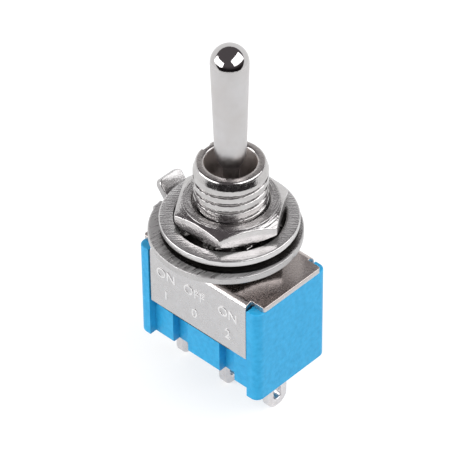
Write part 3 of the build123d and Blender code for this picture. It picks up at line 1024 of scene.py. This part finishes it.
leverShape = {
    "pivot": 4.55,
    "ball": 2.15,
    "tipR": 1.48,
    "tipZ": 18.43,
    "shaftR": 1.25,
    "shaftZ": 10.72,
    "neckR": 0.62,
    "neckZ": 8.78,
    "swell": 0.92,
    "footR": 1.00,
    "footZ": -1.50,
    "boreR": 0.62,
    "boreTop": 2.60,
    "boreEdge": 0.02,
    "innerEdge": 0.06,
    "outerEdge": 0.08,
    "segments": 96,
    "crease": 32,
}


def leverProfile(s):
    # Half section from the top of the foot's bore, down and round the foot, over the ball, up the neck,
    # out along a curve a little fuller than a quarter ellipse to the slowly widening shaft, and over the
    # round tip
    footTop = s["pivot"] - math.sqrt(s["ball"] ** 2 - s["footR"] ** 2)
    neckTop = s["pivot"] + math.sqrt(s["ball"] ** 2 - s["neckR"] ** 2)
    foot = [
        [0, s["boreTop"]],
        [s["boreR"] - s["boreEdge"], s["boreTop"]],
        [s["boreR"], s["boreTop"] - s["boreEdge"]],
        [s["boreR"], s["footZ"] + s["innerEdge"]],
        [s["boreR"] + s["innerEdge"], s["footZ"]],
        [s["footR"] - s["outerEdge"], s["footZ"]],
        [s["footR"], s["footZ"] + s["outerEdge"]],
        [s["footR"], footTop],
    ]
    low = math.asin((footTop - s["pivot"]) / s["ball"])
    high = math.asin((neckTop - s["pivot"]) / s["ball"])
    turn = np.linspace(low, high, 28)[1:]
    ball = np.stack([s["ball"] * np.cos(turn), s["pivot"] + s["ball"] * np.sin(turn)], axis=-1)
    swell = np.linspace(0, np.pi / 2, 15)
    neck = np.array([s["neckR"], s["neckZ"]])
    shaft = np.array([s["shaftR"], s["shaftZ"]])
    share = np.stack([np.sin(swell) ** s["swell"], 1 - np.cos(swell)], axis=-1)
    cone = neck + (shaft - neck) * share
    rise = np.linspace(0, 1, 9)[1:, None]
    body = shaft + (np.array([s["tipR"], s["tipZ"]]) - shaft) * rise
    over = np.linspace(0, np.pi / 2, 26)[1:]
    dome = np.stack([s["tipR"] * np.cos(over), s["tipZ"] + s["tipR"] * np.sin(over)], axis=-1)
    return np.concatenate([foot, ball, cone, body, dome])


addPiece(
    "toggleLever",
    [turnedSolid(leverProfile(leverShape), leverShape["segments"])],
    ["lever"],
    "lever",
    finishes["leverNickel"],
    crease=leverShape["crease"],
)

# Coil spring in the lever's foot, built at the CAD spring's length; the real one shortens as the plunger
# slides in

springShape = {
    "coilR": 0.46,
    "wireR": 0.08,
    "turns": 6,
    "turnSteps": 40,
    "wireSteps": 12,
    "travel": 0.50,
}


def coilSpring(s, low, high):
    # Round wire along a helix between the two levels: each ring of the section stands in the plane of
    # the radius and Z, and its radius is given by (cos b) outwards and (sin b) upwards
    turn = np.linspace(0, 2 * np.pi * s["turns"], s["turnSteps"] * s["turns"] + 1)[:, None]
    around = np.linspace(0, 2 * np.pi, s["wireSteps"], endpoint=False)
    reach = s["coilR"] + s["wireR"] * np.cos(around)
    lift = (high - low - 2 * s["wireR"]) * turn / turn[-1, 0]
    height = low + s["wireR"] + lift + s["wireR"] * np.sin(around)
    return closeEnds(np.stack([reach * np.cos(turn), reach * np.sin(turn), height], axis=-1))


springLow, springHigh = (corner.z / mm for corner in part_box("lever_spring"))
spring = addPiece(
    "coilSpring",
    [coilSpring(springShape, springLow, springHigh)],
    ["lever_spring"],
    "lever",
    finishes["innerSteel"],
)
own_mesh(spring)

# Case, frame and lugs keep their CAD form with soft edges

softPieces = {
    "case": ("blueCase", "housing", "blue_moulding", "blueMoulding", 0.05),
    "frame": ("steelFrame", "housing", "frame_steel", "frameSteel", 0.09),
    "terminal_left": ("lugLeft", "housing", "tinned_lug", "tinnedLug", 0.08),
    "terminal_center": ("lugCenter", "housing", "tinned_lug", "tinnedLug", 0.08),
    "terminal_right": ("lugRight", "housing", "tinned_lug", "tinnedLug", 0.08),
}
for node, (name, body, slot, finish, width) in softPieces.items():
    softCopy(node, name, body, finishes[finish], width)

# Raised marks on the front plate: the lever's three positions

markShape = {
    "rows": (
        (-2.12, (("ON", -3.35), ("OFF", -0.32), ("ON", 3.22))),
        (-4.18, (("1", -3.38), ("0", -0.32), ("2", 3.20))),
    ),
    "size": 1.30,
    "plateY": -3.90,
    "relief": 0.026,
    "soften": 0.016,
    "curveSteps": 3,
    "merge": 0.0005,
}


def markSolid(s, words, x, z):
    # Letters as a thin solid about the XY plane, stood up on the plate: (a, b, c) goes to
    # (x + a, plateY - c, z + b)
    curve = bpy.data.curves.new("markLetters", "FONT")
    curve.body = words
    curve.size = s["size"]
    curve.extrude = s["relief"]
    curve.bevel_depth = s["soften"]
    curve.bevel_resolution = 1
    curve.resolution_u = s["curveSteps"]
    curve.align_x = curve.align_y = "CENTER"
    letters = bpy.data.objects.new("markLetters", curve)
    mesh = bpy.data.meshes.new_from_object(letters)
    bpy.data.objects.remove(letters)
    work = bmesh.new()
    work.from_mesh(mesh)
    bmesh.ops.remove_doubles(work, verts=work.verts, dist=s["merge"])
    bmesh.ops.triangulate(work, faces=work.faces)
    bmesh.ops.recalc_face_normals(work, faces=work.faces)
    work.to_mesh(mesh)
    work.free()
    flat = np.empty(len(mesh.vertices) * 3, dtype=np.float32)
    mesh.vertices.foreach_get("co", flat)
    corners = np.empty(len(mesh.polygons) * 3, dtype=np.int32)
    mesh.polygons.foreach_get("vertices", corners)
    bpy.data.meshes.remove(mesh)
    a, b, c = flat.astype(float).reshape(-1, 3).T
    return np.stack([x + a, s["plateY"] - c, z + b], axis=-1), [corners.reshape(-1, 3)]


addPiece(
    "plateMarks",
    [markSolid(markShape, words, x, z) for z, row in markShape["rows"] for words, x in row],
    [],
    "housing",
    finishes["markPaintedGlint"],
)

# Inner pieces keep their CAD solids

innerFinishes = {
    "pivot_pin": "innerSteel",
    "plunger": "whiteNylon",
    "rocker": "silveredBrass",
    "saddle": "silveredBrass",
    "rocker_contact_left": "silverContact",
    "rocker_contact_right": "silverContact",
    "contact_left": "silverContact",
    "contact_right": "silverContact",
}
for node, finish in innerFinishes.items():
    cadNodes[node].data.materials.clear()
    cadNodes[node].data.materials.append(finishes[finish])
print("inner pieces dressed:", len(innerFinishes))

# Studio

studio = {
    "floorReach": 0.080,
    "floorSegments": 96,
    "floorTone": 0.50,
    "shownGlow": 0.55,
    "mirroredGlow": 0.38,
    "pale": 0.93,
    "ceiling": (0.110, 0.098, 0.104),
    "edge": (0.012, 0.010, 0.011),
    "fill": 0.665,
    "roomFade": (-0.10, 0.22),
    "behind": (-0.707, 0.707),
    "sweepSlope": 0.77,
    "sweepSoft": 0.04,
    "floorRoughness": 0.9,
    "leftBox": {"az": -118, "el": 18, "away": 0.30, "size": (0.37, 0.16), "radiance": 3.7},
    "rightBox": {"az": 18, "el": 38, "away": 0.30, "size": (0.47, 0.24), "radiance": 2.25},
}


def addSoftbox(name, box):
    # Area lamp that faces the switch; its power is radiance x pi x area
    az, el = math.radians(box["az"]), math.radians(box["el"])
    way = Vector((math.cos(az) * math.cos(el), math.sin(az) * math.cos(el), math.sin(el)))
    data = bpy.data.lights.new(name, "AREA")
    data.shape = "RECTANGLE"
    data.size, data.size_y = box["size"]
    data.energy = box["radiance"] * math.pi * data.size * data.size_y
    lamp = bpy.data.objects.new(name, data)
    lamp.location = way * box["away"]
    lamp.rotation_euler = way.to_track_quat("Z", "Y").to_euler()
    bpy.context.scene.collection.objects.link(lamp)


def makeWorld(s):
    # Dark room over a pale sweep that rises behind the switch: pale where z < slope x the part of the
    # direction that points away from the camera. The room fades to black towards the table's edge, matt
    # surfaces get an even fill from it, and the camera sees white past the table
    world = bpy.data.worlds.new("studioRoom")
    bpy.context.scene.world = world
    world.use_nodes = True
    tree = world.node_tree
    background = tree.nodes["Background"]
    path = addNode(tree, "ShaderNodeLightPath")
    way = addNode(tree, "ShaderNodeTexCoord").outputs["Generated"]
    height = remap(tree, upPart(tree, way), 0.0, 1.0, *s["roomFade"])
    room = blendColour(tree, height, (*s["edge"], 1), (*s["ceiling"], 1))
    filled = blendColour(tree, path.outputs["Is Diffuse Ray"], room, grey(s["fill"]))
    slope = [part * s["sweepSlope"] for part in s["behind"]]
    behind = addNode(tree, "ShaderNodeVectorMath", {0: way, 1: (*slope, -1.0)}, operation="DOT_PRODUCT")
    sweep = smoothStep(tree, behind.outputs["Value"], -s["sweepSoft"], s["sweepSoft"])
    lit = blendColour(tree, sweep, filled, grey(s["pale"]))
    shown = blendColour(tree, path.outputs["Is Camera Ray"], lit, grey(1.0))
    tree.links.new(shown, background.inputs["Color"])
    background.inputs["Strength"].default_value = 1.0


def makeFloor(s):
    # Round pale table; where the camera or a mirror-like surface sees it, it glows a little on top of the
    # light that falls on it, so it reads white and keeps the soft shadow
    count = s["floorSegments"]
    rim = circle(s["floorReach"], np.linspace(0, 2 * np.pi, count, endpoint=False))
    low = cadBox[0].z
    points = np.concatenate([np.insert(rim, 2, low, axis=1), [[0, 0, low]]])
    edge = np.arange(count)
    faces = np.stack([np.full(count, count), edge, np.roll(edge, -1)], axis=-1)
    mesh = bpy.data.meshes.new("paleTable")
    mesh.from_pydata(points.tolist(), [], faces.tolist())
    table = bpy.data.objects.new("paleTable", mesh)
    bpy.context.scene.collection.objects.link(table)
    material, tree, shader = newMaterial("paleTable")
    shader.inputs["Base Color"].default_value = grey(s["floorTone"])
    shader.inputs["Roughness"].default_value = s["floorRoughness"]
    shader.inputs["Specular IOR Level"].default_value = 0.0
    path = addNode(tree, "ShaderNodeLightPath")
    mirrorRays = {0: path.outputs["Is Glossy Ray"], 1: path.outputs["Is Transmission Ray"]}
    mirrored = addNode(tree, "ShaderNodeMath", mirrorRays, operation="MAXIMUM")
    glow = product(tree, mirrored.outputs[0], s["mirroredGlow"])
    cameraGlow = {0: path.outputs["Is Camera Ray"], 1: s["shownGlow"], 2: glow}
    strength = addNode(tree, "ShaderNodeMath", cameraGlow, operation="MULTIPLY_ADD")
    shader.inputs["Emission Color"].default_value = grey(1.0)
    tree.links.new(strength.outputs[0], shader.inputs["Emission Strength"])
    mesh.materials.append(material)


makeWorld(studio)
makeFloor(studio)
addSoftbox("softboxLeft", studio["leftBox"])
addSoftbox("softboxRight", studio["rightBox"])
bpy.context.scene.view_settings.view_transform = "Standard"
print("studio lit")
